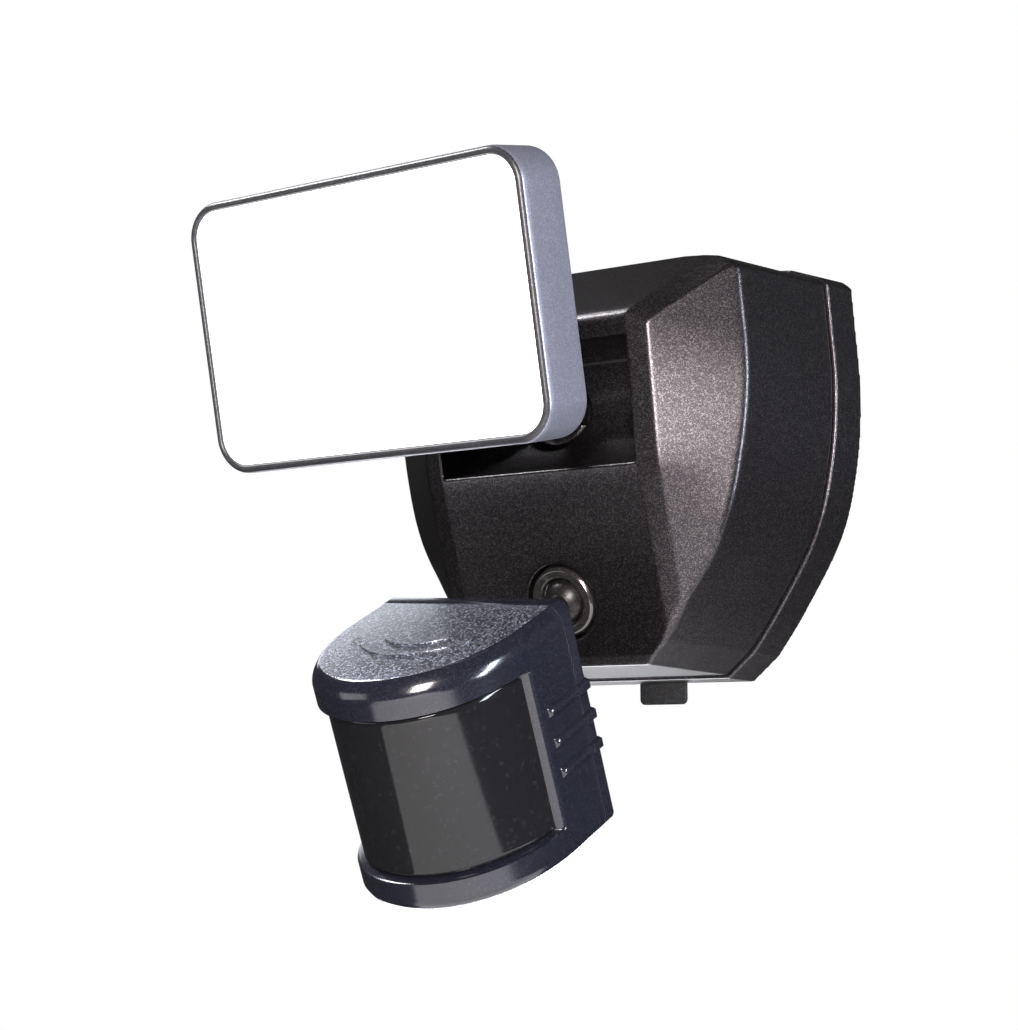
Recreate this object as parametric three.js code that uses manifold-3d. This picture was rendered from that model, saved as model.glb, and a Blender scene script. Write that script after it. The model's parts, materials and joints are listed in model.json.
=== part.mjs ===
// Wall floodlight: a housing with a lamp head and a motion-sensor head, each on its own arm.
// Millimetres, +Z up. The wall is the plane y = 0, the front faces -Y, and x = 0 is the middle.
import * as THREE from 'three';
import { mergeVertices } from 'three/addons/utils/BufferGeometryUtils.js';
import Module from 'manifold-3d';

const wasm = await Module();
wasm.setup();

const { PI, sin, cos, hypot, sqrt, min, max } = Math;
const { degToRad, lerp } = THREE.MathUtils;

// ---------------------------------------------------------------- driving dimensions

const GAP = 0.3;                     // clearance left between pieces that touch
const SHELL = 2.4;                   // wall of the moulded shells

// Housing. Half outlines run from the bottom edge up the right side to the flat top.
const WALL_OUTLINE = {
  bottom: [37.5, -65],
  side: [[48, -56], [59.3, -40], [73.8, -15], [80.3, 10], [82.1, 35], [80.6, 58]],
  shoulder: [[79.4, 73], [76.5, 75.4], [64, 79.8]],
  top: [46, 81.5],
};
const FRONT_OUTLINE = {
  bottom: [29.5, -61],
  side: [[38.6, -53.5], [49.1, -40], [63.8, -15], [70.6, 10], [73.4, 35], [72, 58]],
  shoulder: [[70.6, 71.8], [68.4, 73.6], [60, 77.2]],
  top: [46, 79.2],
};
const EDGE_Y = -64;                  // plane of the side wall's front edge
const BASE_DEPTH = 15;               // the rear base's depth
const BASE_STEP = 1.1;               // the rear base stands this proud of the cover
const PANEL_HALF = 40;               // half width of the raised middle panel
const SPINE_HALF = 47.6;             // half width of the spine under it
const PANEL_RISE = 1.75;             // the middle panel's height above the spine
const KINK = [-81.3, 4.9];           // y, z where the lower panel starts
const NOSE = [-91, 54.5];            // y, z of the nose above the recess
const RIDGE = [-58, 79.4];           // y, z of the top ridge
const RIDGE_HALF = 57;               // half width of the top slope at the ridge
const PANEL_FOOT = [-60.3, -56.9];   // y, z of the lower panel's foot
const SCOOP = { y: -92, z: 27, r: 23.5, half: 39.6 };

// Ball sockets
const BALL_R = 8.6;
const STEM_R = 4.3;
const COLLAR_R = 12.4;
const SOCKET_HOLE_R = 13.6;
const COLLAR_AHEAD = 5.5;            // collar face in front of the ball's centre
const CAVITY_R = 10.6;               // round space behind the ball

const LAMP_BALL = [0, -64, 27.5];
const SENSOR_BALL = [0, -63, -36.8];
const PANEL_TILT = degToRad(18.8);   // the lower panel faces this far down

// Lamp head
const LAMP = { w: 134.4, h: 88.6, r: 12.2, frame: 21, back: 8.5 };
const LAMP_PAN = degToRad(-1.4);
const LAMP_TILT = degToRad(11.7);
const PIN_BEHIND_FACE = 42;
const PIN_BELOW_CENTRE = 17;
const PIN = [-1.6, -131.3, 36];
const KNUCKLE_R = 9;

// Sensor head
const SENSOR = { w: 73.4, straight: 22.6, deep: 69.5, h: 77, cap: 12.9, foot: 66.9 };
const SENSOR_YAW = degToRad(-1.4);
const SENSOR_TILT = degToRad(25.5);
const SENSOR_ROLL = degToRad(3.5);
const SENSOR_STEM = 51.5;            // ball centre to the head's back
const STEM_BELOW_TOP = 21.8;
const WINDOW_FRONT = -29.7;          // the window starts here and runs round the front

// ---------------------------------------------------------------- materials

const finish = (color, roughness, metalness = 0) => ({ color, roughness, metalness });
const BRONZE = finish(0x17151a, 0.32, 0.25);
const GRAPHITE = finish(0x3c3d49, 0.45, 0.5);
const GLOSS_BLACK = finish(0x121216, 0.18, 0.05);
const STEEL = finish(0x9a9ca0, 0.38, 0.9);
const ZINC = finish(0x55575c, 0.5, 0.8);
const RUBBER = finish(0x1c1c1c, 0.85);
const NYLON = finish(0xd9d6cc, 0.6);
const BOARD = finish(0x1f5a36, 0.55);
const WHITE = finish(0xf4f4f0, 0.5);
const DARK_PLASTIC = finish(0x24242a, 0.55);
const LEAD = finish(0x2a2a2c, 0.6);

// ---------------------------------------------------------------- solids

// Makes a solid of a closed geometry, turning its faces outwards if they all point in.
function toSolid(geometry, matrix) {
  const shape = geometry.clone();
  if (matrix) shape.applyMatrix4(matrix);
  shape.deleteAttribute('normal');
  shape.deleteAttribute('uv');
  const merged = mergeVertices(shape, 1e-4);
  const vertProperties = Float32Array.from(merged.attributes.position.array);
  const triVerts = Uint32Array.from(merged.index.array);
  if (signedVolume(vertProperties, triVerts) < 0) triVerts.reverse();
  return new wasm.Manifold(new wasm.Mesh({ numProp: 3, vertProperties, triVerts }));
}

function signedVolume(positions, triangles) {
  const corner = (i) => new THREE.Vector3().fromArray(positions, 3 * triangles[i]);
  let sum = 0;
  for (let i = 0; i < triangles.length; i += 3) {
    sum += corner(i).dot(corner(i + 1).cross(corner(i + 2)));
  }
  return sum;
}

function toGeometry(solid) {
  const mesh = solid.getMesh();
  const geometry = new THREE.BufferGeometry();
  geometry.setAttribute('position', new THREE.BufferAttribute(Float32Array.from(mesh.vertProperties), 3));
  geometry.setIndex(new THREE.BufferAttribute(Uint32Array.from(mesh.triVerts), 1));
  geometry.computeVertexNormals();
  return geometry;
}

function at(x, y, z, rx = 0, ry = 0, rz = 0) {
  const turn = new THREE.Quaternion().setFromEuler(new THREE.Euler(rx, ry, rz));
  return new THREE.Matrix4().compose(new THREE.Vector3(x, y, z), turn, new THREE.Vector3(1, 1, 1));
}

function box(w, d, h, x = 0, y = 0, z = 0) {
  return toSolid(new THREE.BoxGeometry(w, d, h), at(x, y, z));
}

// A round solid about Z. profile lists [radius, height]; it starts and ends on the axis or closes on itself.
function turned(profile, sides = 32, matrix) {
  const points = profile.map(([r, z]) => new THREE.Vector2(r, z));
  return toSolid(new THREE.LatheGeometry(points, sides).rotateX(PI / 2), matrix);
}

function rod(r, from, to, sides = 24, matrix) {
  return turned([[0, from], [r, from], [r, to], [0, to]], sides, matrix);
}

function polyhedron(points, triangles) {
  const geometry = new THREE.BufferGeometry();
  geometry.setAttribute('position', new THREE.Float32BufferAttribute(points.flatMap((p) => p.toArray()), 3));
  geometry.setIndex(triangles);
  return toSolid(geometry);
}

// Joins loops of equal length in order. With flat, which maps a point to the caps' plane, the ends are
// capped; without it the last loop joins the first, which gives a ring.
function skin(loops, flat) {
  const turnRound = flat && THREE.ShapeUtils.isClockWise(loops[0].map(flat));
  const rows = turnRound ? loops.map((loop) => [...loop].reverse()) : loops;
  const n = rows[0].length;
  const triangles = [];
  const bands = flat ? rows.length - 1 : rows.length;
  for (let s = 0; s < bands; s += 1) {
    const next = (s + 1) % rows.length;
    for (let i = 0; i < n; i += 1) {
      const j = (i + 1) % n;
      const [a, b, c, d] = [s * n + i, s * n + j, next * n + i, next * n + j];
      triangles.push(a, b, d, a, d, c);
    }
  }
  if (flat) {
    const last = (rows.length - 1) * n;
    for (const [a, b, c] of THREE.ShapeUtils.triangulateShape(rows[0].map(flat), [])) {
      triangles.push(a, c, b);
    }
    for (const [a, b, c] of THREE.ShapeUtils.triangulateShape(rows.at(-1).map(flat), [])) {
      triangles.push(last + a, last + b, last + c);
    }
  }
  return polyhedron(rows.flat(), triangles);
}

const flatXZ = (p) => new THREE.Vector2(p.x, p.z);
const flatXY = (p) => new THREE.Vector2(p.x, p.y);

// Moves each point of a closed loop of [u, v] pairs inwards by d along its corner's bisector.
function inset(loop, d) {
  const area = loop.reduce((sum, [x, y], i) => {
    const [u, v] = loop[(i + 1) % loop.length];
    return sum + x * v - u * y;
  }, 0);
  const side = area > 0 ? 1 : -1;
  return loop.map((p, i) => {
    const before = loop[(i + loop.length - 1) % loop.length];
    const after = loop[(i + 1) % loop.length];
    const n1 = unit(p[1] - before[1], before[0] - p[0]);
    const n2 = unit(after[1] - p[1], p[0] - after[0]);
    const k = (side * d) / (1 + n1[0] * n2[0] + n1[1] * n2[1]);
    return [p[0] - k * (n1[0] + n2[0]), p[1] - k * (n1[1] + n2[1])];
  });
}

function unit(x, y) {
  const length = hypot(x, y);
  return [x / length, y / length];
}

// ---------------------------------------------------------------- the assembly

const assembly = new THREE.Group();

function add(name, solid, look, group = assembly) {
  const mesh = new THREE.Mesh(toGeometry(solid), new THREE.MeshStandardMaterial(look));
  mesh.name = name;
  group.add(mesh);
  return mesh;
}

function frameAt(position, order, turn) {
  const group = new THREE.Group();
  group.position.set(...position);
  group.rotation.set(...turn, order);
  assembly.add(group);
  group.updateMatrix();
  return group;
}

// ---------------------------------------------------------------- housing outlines

const SIDE_STEPS = 8;

function halfOutline({ bottom, side, shoulder, top }) {
  const curve = new THREE.SplineCurve(side.map(([x, z]) => new THREE.Vector2(x, z)));
  const round = curve.getPoints(SIDE_STEPS).map((p) => [p.x, p.y]);
  return [bottom, ...round, ...shoulder, top];
}

function wholeOutline(half) {
  const mirrored = half.map(([x, z]) => [-x, z]).reverse();
  return [...half, ...mirrored];
}

const wallLoop = wholeOutline(halfOutline(WALL_OUTLINE));
const frontLoop = wholeOutline(halfOutline(FRONT_OUTLINE));

// The side wall's outline at a depth y, inset by d.
function outlineAt(y, d = 0) {
  const t = y / EDGE_Y;
  const loop = wallLoop.map(([x, z], i) => [lerp(x, frontLoop[i][0], t), lerp(z, frontLoop[i][1], t)]);
  return inset(loop, d).map(([x, z]) => new THREE.Vector3(x, y, z));
}

function drafted(fromY, toY, dFrom, dTo = dFrom) {
  return skin([outlineAt(fromY, dFrom), outlineAt(toY, dTo)], flatXZ);
}

// ---------------------------------------------------------------- front cover

const smoothMax = (a, b, k) => (a + b + sqrt((a - b) ** 2 + k * k)) / 2;
const along = ([y1, z1], [y2, z2], z) => y1 + ((y2 - y1) * (z - z1)) / (z2 - z1);

// y of the spine's front below the nose, then of the top slope; sunk moves it back into the solid.
function spineY(z, rise) {
  const foot = along([PANEL_FOOT[0] + 3, PANEL_FOOT[1] - 4.4], PANEL_FOOT, z);
  const lower = along(PANEL_FOOT, KINK, z);
  const upper = along(KINK, [NOSE[0] + PANEL_RISE + 1, NOSE[1]], z);
  const slope = along([NOSE[0] + PANEL_RISE, NOSE[1]], [RIDGE[0] + PANEL_RISE, RIDGE[1]], z);
  const front = z < PANEL_FOOT[1] ? foot : max(lower, z < KINK[1] ? lower : upper);
  return smoothMax(front, slope, z > KINK[1] ? 3 : 0) - rise;
}

const FAN_START = 51.5;              // the spine's edge fans out above this height
const EDGE_TOP = [70.3, 74];         // x, z where it meets the side wall's front edge
const edgeCurve = new THREE.SplineCurve(FRONT_OUTLINE.side.map(([x, z]) => new THREE.Vector2(z, x)));

function edgeHalf(z) {
  const side = FRONT_OUTLINE.side;
  const i = side.findIndex((p) => p[1] >= z);
  if (i === 0) return side[0][0];
  if (i < 0) return lerp(side.at(-1)[0], EDGE_TOP[0], (z - side.at(-1)[1]) / (EDGE_TOP[1] - side.at(-1)[1]));
  const t = (i - 1 + (z - side[i - 1][1]) / (side[i][1] - side[i - 1][1])) / (side.length - 1);
  return edgeCurve.getPoint(t).y;
}

// The front at height z: middle panel, its bevel, then the chamfer out past the side wall.
function frontSection(z, sunk) {
  const level = z + sunk;
  const fan = max(0, (level - FAN_START) / (EDGE_TOP[1] - FAN_START));
  const spineHalf = lerp(SPINE_HALF, EDGE_TOP[0], fan);
  const spineFront = fan > 0 ? lerp(spineY(FAN_START, 0), EDGE_Y, fan) : spineY(level, 0);
  const rise = max(0, (level - NOSE[1]) / (RIDGE[1] - NOSE[1]));
  const panelHalf = lerp(PANEL_HALF, RIDGE_HALF, rise);
  const narrow = level < -25 || fan > 0.6;
  const slant = narrow ? (level < 0 ? 0.7 : 0.94) : (EDGE_Y - spineFront) / (edgeHalf(level) - spineHalf);
  const far = 112;
  const farY = spineFront + slant * (far - spineHalf);
  const right = [[far, 20], [far, farY], [spineHalf, spineFront], [panelHalf, spineY(level, PANEL_RISE)]];
  const left = right.map(([x, y]) => [-x, y]).reverse();
  return [...right, ...left].map(([x, y], i) => {
    const back = i === 0 || i === 7 ? 0 : sunk * 1.15;
    return new THREE.Vector3(x, y + back, z);
  });
}

const SECTION_LEVELS = [
  -70, -56.9, -45, -25, -10, 4.9, 20, 35, 46, 49.5, 51.5, 53.5, 55.5, 59, 66, 74, 84, 92,
];

function frontBody(sunk) {
  return skin(SECTION_LEVELS.map((z) => frontSection(z - sunk, sunk)), flatXY);
}

// The recess for the lamp arm: a round-bottomed trough across the middle panel.
function scoop(grow) {
  const { y, z, r, half } = SCOOP;
  const trough = rod(r + grow, -half - grow, half + grow, 32, at(0, y, z, 0, PI / 2));
  const mouth = box(2 * (half + grow), 40, 2 * (r + grow), 0, y - 20, z);
  return trough.add(mouth.intersect(box(200, 60, 2 * (r + grow) - 3, 0, y - 27, z)));
}

const socketTurn = (tilt) => PI / 2 + tilt;
const socketMatrix = ([x, y, z], tilt) => at(x, y, z, socketTurn(tilt));
const SOCKETS = [socketMatrix(LAMP_BALL, 0), socketMatrix(SENSOR_BALL, PANEL_TILT)];
const SCREW_POSTS = [[-60, -6], [60, -6], [-57, 52], [57, 52]];
const COVER_BACK = -BASE_DEPTH - GAP;

function frontCover() {
  const outer = drafted(COVER_BACK, -100, BASE_STEP, 0.6).intersect(frontBody(0));
  const cavity = drafted(-1, -100, SHELL + BASE_STEP, SHELL + 1).intersect(frontBody(SHELL));
  const troughWall = scoop(SHELL);
  let cover = outer.subtract(cavity.subtract(troughWall));
  cover = cover.subtract(scoop(0));
  for (const socket of SOCKETS) {
    cover = cover.add(rod(16, 0.6, 4.4, 28, socket));
  }
  for (const [x, z] of SCREW_POSTS) {
    const post = rod(4.2, 14, 90, 12, at(x, 0, z, PI / 2)).intersect(outer);
    cover = cover.add(post).subtract(rod(1.7, 5, 34, 10, at(x, 0, z, PI / 2)));
  }
  for (const socket of SOCKETS) cover = cover.subtract(rod(SOCKET_HOLE_R, -20, 30, 28, socket));
  return cover;
}

// ---------------------------------------------------------------- rear base, gasket, seal, mounting plate

const PLATE = { w: 92, h: 100, t: 1.2, tab: 19.6, tabDrop: 72.6, r: 3 };
const GASKET = { in: 2.2, out: 5.4, deep: 2 };
const WIRE_HOLE = { r: 13, z: 28 };

function roundedBar(w, h, r, x, z) {
  const shape = new THREE.Shape();
  const [a, b] = [w / 2 - r, h / 2 - r];
  shape.absarc(x + a, z + b, r, 0, PI / 2);
  shape.absarc(x - a, z + b, r, PI / 2, PI);
  shape.absarc(x - a, z - b, r, PI, 1.5 * PI);
  shape.absarc(x + a, z - b, r, 1.5 * PI, 2 * PI);
  return shape;
}

// Extrudes a shape drawn in x and z, from y = back forwards to y = back - thick.
function sheetXZ(shape, back, thick, curveSegments = 2) {
  const sheet = new THREE.ExtrudeGeometry(shape, { depth: thick, bevelEnabled: false, curveSegments });
  return toSolid(sheet, at(0, back, 0, PI / 2));
}

function mountingPlate() {
  let plate = sheetXZ(roundedBar(PLATE.w, PLATE.h, 8, 0, 0), 0, PLATE.t);
  const tabHeight = PLATE.tabDrop - 40;
  plate = plate.add(sheetXZ(roundedBar(PLATE.tab, tabHeight, 2, 0, -40 - tabHeight / 2), 0, PLATE.t));
  const slots = [[-33, 0, 4.6, 22], [33, 0, 4.6, 22], [0, 28, 34, 34], [-22, -30, 16, 4.6],
    [22, -30, 16, 4.6]];
  for (const [x, z, w, h] of slots) {
    plate = plate.subtract(sheetXZ(roundedBar(w, h, min(w, h) / 2 - 0.05, x, z), 5, 10, 3));
  }
  return plate;
}

function ringSolid(dOut, dIn, fromY, toY) {
  return drafted(fromY, toY, dOut).subtract(drafted(fromY + 5, toY - 5, dIn));
}

function rearBase() {
  let tray = drafted(0, -BASE_DEPTH, 0).subtract(drafted(-5, -30, SHELL));
  tray = tray.subtract(ringSolid(GASKET.in, GASKET.out, 0.5, -GASKET.deep - GAP));
  tray = tray.subtract(box(PLATE.w + 2, 2 * PLATE.t + 2 * GAP, PLATE.h + 2, 0, 0, 0));
  tray = tray.subtract(box(PLATE.tab + 2, 2 * PLATE.t + 2 * GAP, 60, 0, 0, -60));
  tray = tray.subtract(rod(WIRE_HOLE.r, -20, 20, 24, at(0, 0, WIRE_HOLE.z, PI / 2)));
  for (const [x, z] of SCREW_POSTS) {
    tray = tray.subtract(rod(3.6, -1, 3.2, 12, at(x, 0, z, PI / 2)));
    tray = tray.subtract(rod(1.9, -1, 20, 10, at(x, 0, z, PI / 2)));
  }
  for (const [x, z] of BOARD_POSTS) tray = tray.add(rod(3, 4, BOARD_BACK - GAP, 10, at(x, 0, z, PI / 2)));
  return tray;
}

const BOARD_BACK = 10;               // control board's back face in front of the wall
const BOARD_T = 1.6;
const BOARD_POSTS = [[-28, -24], [28, -24], [-28, 6], [28, 6]];
const BOARD_FRONT = BOARD_BACK + BOARD_T;

// A foam strip round the back, open at the bottom where the tab passes.
function wallGasket() {
  const strip = ringSolid(GASKET.in + GAP, GASKET.out - GAP, 0, -GASKET.deep);
  return strip.subtract(box(PLATE.tab + 3, 10, 30, 0, 0, -64));
}

add('mounting_plate', mountingPlate(), ZINC);
add('wall_gasket', wallGasket(), RUBBER);
add('rear_base', rearBase(), BRONZE);
add('housing_seal', ringSolid(SHELL + BASE_STEP + GAP, SHELL + BASE_STEP + 2, -11, -19), RUBBER);
add('front_cover', frontCover(), BRONZE);

SCREW_POSTS.forEach(([x, z], i) => {
  const shank = [[0, 0.5], [3.2, 0.5], [3.2, 2.9], [1.5, 2.9], [1.4, 30], [0, 32]];
  add(`cover_screw_${i + 1}`, turned(shank, 12, at(x, 0, z, PI / 2)), STEEL);
});

// ---------------------------------------------------------------- electrics inside the housing

add('control_board', box(66, BOARD_T, 44, 0, -BOARD_BACK - BOARD_T / 2, -9), BOARD);
const onBoard = (depth) => -BOARD_FRONT - GAP - depth / 2;
add('relay', box(19, 15, 15, -20, onBoard(15), -20), finish(0x1d3f86, 0.5));
add('terminal_block', box(26, 11, 12, 16, onBoard(11), 4), finish(0x2f6f4a, 0.55));
add('capacitor', turned([[0, 0], [5.6, 0], [6, 0.6], [6, 15], [5.4, 16], [0, 16]], 16,
  at(20, -BOARD_FRONT - GAP, -20, PI / 2)), finish(0x1b1b22, 0.45));
add('driver_module', box(64, 24, 26, 0, -19, 62), DARK_PLASTIC);

function tubeAlong(points, r, sides = 8) {
  const curve = new THREE.CatmullRomCurve3(points.map((p) => new THREE.Vector3(...p)));
  const section = new THREE.Shape();
  section.absarc(0, 0, r, 0, 2 * PI);
  const options = { extrudePath: curve, steps: 14, curveSegments: sides / 2, bevelEnabled: false };
  return toSolid(new THREE.ExtrudeGeometry(section, options));
}

// ---------------------------------------------------------------- ball sockets

// Pieces of one socket, drawn along +Z, which points out of the housing. slot is half the extra
// width that lets the stem swing sideways only.
function collar(slot) {
  const face = COLLAR_AHEAD;
  const ring = [[8.2, face - 2.3], [8.2, face - 0.9], [9.1, face], [11.3, face], [COLLAR_R, face - 1],
    [COLLAR_R, 0.9], [13.2, 0.6], [13.2, -0.6], [10.4, -0.6], [10.4, 0.2], [8.2, face - 2.3]];
  const solid = turned(ring, 28);
  if (!slot) return solid;
  const opening = box(2 * (8.2 + slot), 11, 20, 0, 0, 5);
  return solid.subtract(opening.subtract(rod(30, -20, 1.2, 12)));
}

const CUP_STEPS = 4;

function socketCup() {
  const wall = 1.8;
  const outer = [];
  const inner = [];
  for (let i = 0; i <= CUP_STEPS; i += 1) {
    const a = degToRad(lerp(4, 66, i / CUP_STEPS));
    outer.push([(CAVITY_R + wall) * cos(a), -(CAVITY_R + wall) * sin(a)]);
    inner.push([CAVITY_R * cos(a), -CAVITY_R * sin(a)]);
  }
  return turned([...inner, ...outer.reverse(), inner[0]], 16);
}

function ballStem(length, end) {
  const neck = Math.asin(STEM_R / BALL_R);
  const profile = [[0, -BALL_R * 0.94]];
  for (let i = 0; i <= 6; i += 1) {
    const a = lerp(-1.22, PI / 2 - neck, i / 6);
    profile.push([BALL_R * cos(a), BALL_R * sin(a)]);
  }
  return turned([...profile, ...end(length)], 20);
}

const lampSocket = frameAt(LAMP_BALL, 'XYZ', [socketTurn(0), 0, 0]);
const sensorSocket = frameAt(SENSOR_BALL, 'XYZ', [socketTurn(PANEL_TILT), 0, 0]);
add('lamp_collar', collar(4.5), BRONZE, lampSocket);
add('sensor_collar', collar(0), BRONZE, sensorSocket);
add('lamp_socket_cup', socketCup(), NYLON, lampSocket);
add('sensor_socket_cup', socketCup(), NYLON, sensorSocket);

// ---------------------------------------------------------------- lamp arm

const toPin = new THREE.Vector3(...PIN).sub(new THREE.Vector3(...LAMP_BALL));
const armLength = toPin.length();
const armRise = Math.asin(toPin.z / armLength);
const armGroup = frameAt(LAMP_BALL, 'ZXY', [socketTurn(-armRise), 0, LAMP_PAN]);
const KNUCKLE_START = armLength - 30;

add('lamp_ball_stem', ballStem(KNUCKLE_START, (end) => [[STEM_R, 9], [STEM_R, 12], [6.2, 16],
  [6.2, end - 8.2], [4.6, end - 8], [4.6, end + 5], [0, end + 5]]), BRONZE, armGroup);

function hexNut(r, bore, from, to) {
  const flat = 0.93 * r;
  const nut = turned([[0, from], [flat, from], [r, from + 0.6], [r, to - 0.6], [flat, to], [0, to]], 6);
  return nut.subtract(rod(bore, from - 1, to + 1, 16));
}

add('lamp_lock_nut', hexNut(8.6, 4.6 + GAP, KNUCKLE_START - 7.4, KNUCKLE_START - 1.9), STEEL, armGroup);

const acrossPin = at(0, 0, armLength, 0, PI / 2);
const LUG_HALF = 5;
const EAR = 5.2;

// The fork at the arm's end. Local +Z runs along the arm to the hinge pin, local X along the pin.
function knuckle() {
  const start = KNUCKLE_START - 1.5;
  const hub = turned([[0, start], [8.4, start], [9, start + 1], [9, start + 9], [0, start + 9]], 24);
  const [slot, wide] = [LUG_HALF + GAP, LUG_HALF + GAP + EAR];
  const deep = armLength - start - 6;
  const fork = box(2 * wide, 2 * KNUCKLE_R - 2, deep, 0, 0, start + 6 + deep / 2);
  const round = rod(KNUCKLE_R, -wide, wide, 24, acrossPin);
  const clear = rod(KNUCKLE_R + 1.6, -slot, slot, 20, acrossPin);
  const mouth = box(2 * slot, 2 * KNUCKLE_R + 8, 30, 0, 0, armLength + 13);
  const body = hub.add(fork).add(round).subtract(clear).subtract(mouth);
  const bore = rod(4.6 + GAP, start - 1, KNUCKLE_START + 5.4, 20);
  return body.subtract(rod(2.6, -20, 20, 16, acrossPin)).subtract(bore);
}

add('lamp_knuckle', knuckle(), BRONZE, armGroup);
const earFace = LUG_HALF + GAP + EAR + GAP;
add('knuckle_screw', turned([[0, -earFace - 4], [2.3, -earFace - 4], [2.3, earFace], [5, earFace],
  [5, earFace + 2.2], [3.6, earFace + 3.4], [0, earFace + 3.4]], 20, acrossPin), STEEL, armGroup);
const nutAlongPin = hexNut(5, 2.3 + GAP, -earFace - 3.6, -earFace);
add('knuckle_nut', nutAlongPin.transform(acrossPin.elements), STEEL, armGroup);

// ---------------------------------------------------------------- lamp head

// Local frame: origin at the middle of the lit face, X right, Y to the back, Z up.
const faceBack = new THREE.Euler(LAMP_TILT, 0, LAMP_PAN, 'ZXY');
const pinLocal = new THREE.Vector3(0, PIN_BEHIND_FACE, -PIN_BELOW_CENTRE);
const lampOrigin = new THREE.Vector3(...PIN).sub(pinLocal.clone().applyEuler(faceBack));
const lampHead = frameAt(lampOrigin.toArray(), 'ZXY', [LAMP_TILT, 0, LAMP_PAN]);
const CORNER_STEPS = 4;

function roundedLoop(w, h, r, y) {
  const loop = [];
  const corners = [[1, 1], [-1, 1], [-1, -1], [1, -1]];
  corners.forEach(([sx, sz], k) => {
    for (let i = 0; i <= CORNER_STEPS; i += 1) {
      const a = (k + i / CORNER_STEPS) * (PI / 2);
      loop.push(new THREE.Vector3(sx * (w / 2 - r) + r * cos(a), y, sz * (h / 2 - r) + r * sin(a)));
    }
  });
  return loop;
}

// A loop of the lamp's outline, inset by d, at depth y behind the face.
const lampLoop = (d, y) => roundedLoop(LAMP.w - 2 * d, LAMP.h - 2 * d, max(LAMP.r - d, 1), y);
const lampRing = (profile) => skin(profile.map(([d, y]) => lampLoop(d, y)));
const lampSlab = (profile) => skin(profile.map(([d, y]) => lampLoop(d, y)), flatXZ);

const RIM = 2.7;                     // width of the rim round the diffuser
add('lamp_frame', lampRing([[RIM, 0.5], [2, 0], [1, 0.3], [0.25, 1.3], [0, 3], [0, LAMP.frame - 1],
  [0.8, LAMP.frame], [3.4, LAMP.frame], [3.4, 4.2], [RIM + 1.6, 3.6], [RIM + 1.6, 2.2], [RIM, 2.2]]),
GRAPHITE, lampHead);
add('lamp_diffuser', lampSlab([[RIM + GAP, 1], [RIM + GAP, 1.9], [RIM + GAP, 2.5 - 0.3]]), WHITE, lampHead);
add('lamp_seal', lampRing([[4, 4.6], [4, 6.4], [6.4, 6.4], [6.4, 4.6]]), RUBBER, lampHead);
add('light_guide', lampSlab([[7, 3], [7, 6]]), WHITE, lampHead);
add('led_board', lampSlab([[7, 6.4], [7, 8]]), WHITE, lampHead);

const LAMP_SCREWS = [[-46, -28], [46, -28], [-46, 28], [46, 28]];
const FINS = 9;

function lampRearCover() {
  const back = LAMP.frame + LAMP.back;
  let cover = lampSlab([[3.8, 8.4], [3.8, 23], [4.6, 26], [7, back - 1.2], [9, back]]);
  cover = cover.subtract(lampSlab([[7, 0], [7, 20], [10, 25], [12, back - 2.6]]));
  for (let i = 0; i < FINS; i += 1) {
    const x = lerp(-50, 50, i / (FINS - 1));
    const low = Math.abs(x) < 16 ? 6 : -30;
    cover = cover.add(box(2.2, 5, 32 - low, x, back + 1.6, (32 + low) / 2));
  }
  const [py, pz] = [PIN_BEHIND_FACE, -PIN_BELOW_CENTRE];
  const lug = rod(KNUCKLE_R, -LUG_HALF, LUG_HALF, 24, at(0, py, pz, 0, PI / 2));
  const web = box(2 * LUG_HALF, py - back + 1, 2 * KNUCKLE_R, 0, (py + back - 1) / 2, pz);
  cover = cover.add(lug).add(web.add(box(26, 3, 26, 0, back + 0.4, pz)));
  cover = cover.subtract(rod(2.6, -20, 20, 16, at(0, py, pz, 0, PI / 2)));
  for (const [x, z] of LAMP_SCREWS) {
    cover = cover.add(rod(3.4, -back + 1, -10, 10, at(x, 0, z, PI / 2)));
    cover = cover.subtract(rod(3, -back - 5, -back + 2.4, 12, at(x, 0, z, PI / 2)));
    cover = cover.subtract(rod(1.6, -back - 5, -9, 10, at(x, 0, z, PI / 2)));
  }
  return cover;
}

add('lamp_rear_cover', lampRearCover(), GRAPHITE, lampHead);
LAMP_SCREWS.forEach(([x, z], i) => {
  const back = LAMP.frame + LAMP.back;
  const profile = [[0, 0.2 - back], [2.6, 0.2 - back], [2.6, 2 - back], [1.3, 2.1 - back], [1.3, -11],
    [0, -10]];
  add(`lamp_screw_${i + 1}`, turned(profile, 10, at(x, 0, z, PI / 2)), STEEL, lampHead);
});

// ---------------------------------------------------------------- sensor head

// Local frame: origin at the middle of the back's top edge, X right, Y to the back, Z up.
const sensorTurn = new THREE.Euler(SENSOR_TILT, SENSOR_ROLL, SENSOR_YAW, 'ZXY');
const stemFoot = new THREE.Vector3(0, -SENSOR_STEM, 0)
  .applyEuler(new THREE.Euler(SENSOR_TILT, 0, SENSOR_YAW, 'ZXY')).add(new THREE.Vector3(...SENSOR_BALL));
const sensorOrigin = stemFoot.clone().add(new THREE.Vector3(0, 0, STEM_BELOW_TOP).applyEuler(sensorTurn));
const sensorHead = frameAt(sensorOrigin.toArray(), 'ZXY', [SENSOR_TILT, SENSOR_ROLL, SENSOR_YAW]);
const sensorArm = frameAt(SENSOR_BALL, 'ZXY', [socketTurn(SENSOR_TILT), 0, SENSOR_YAW]);
const ARC_STEPS = 18;

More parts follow.
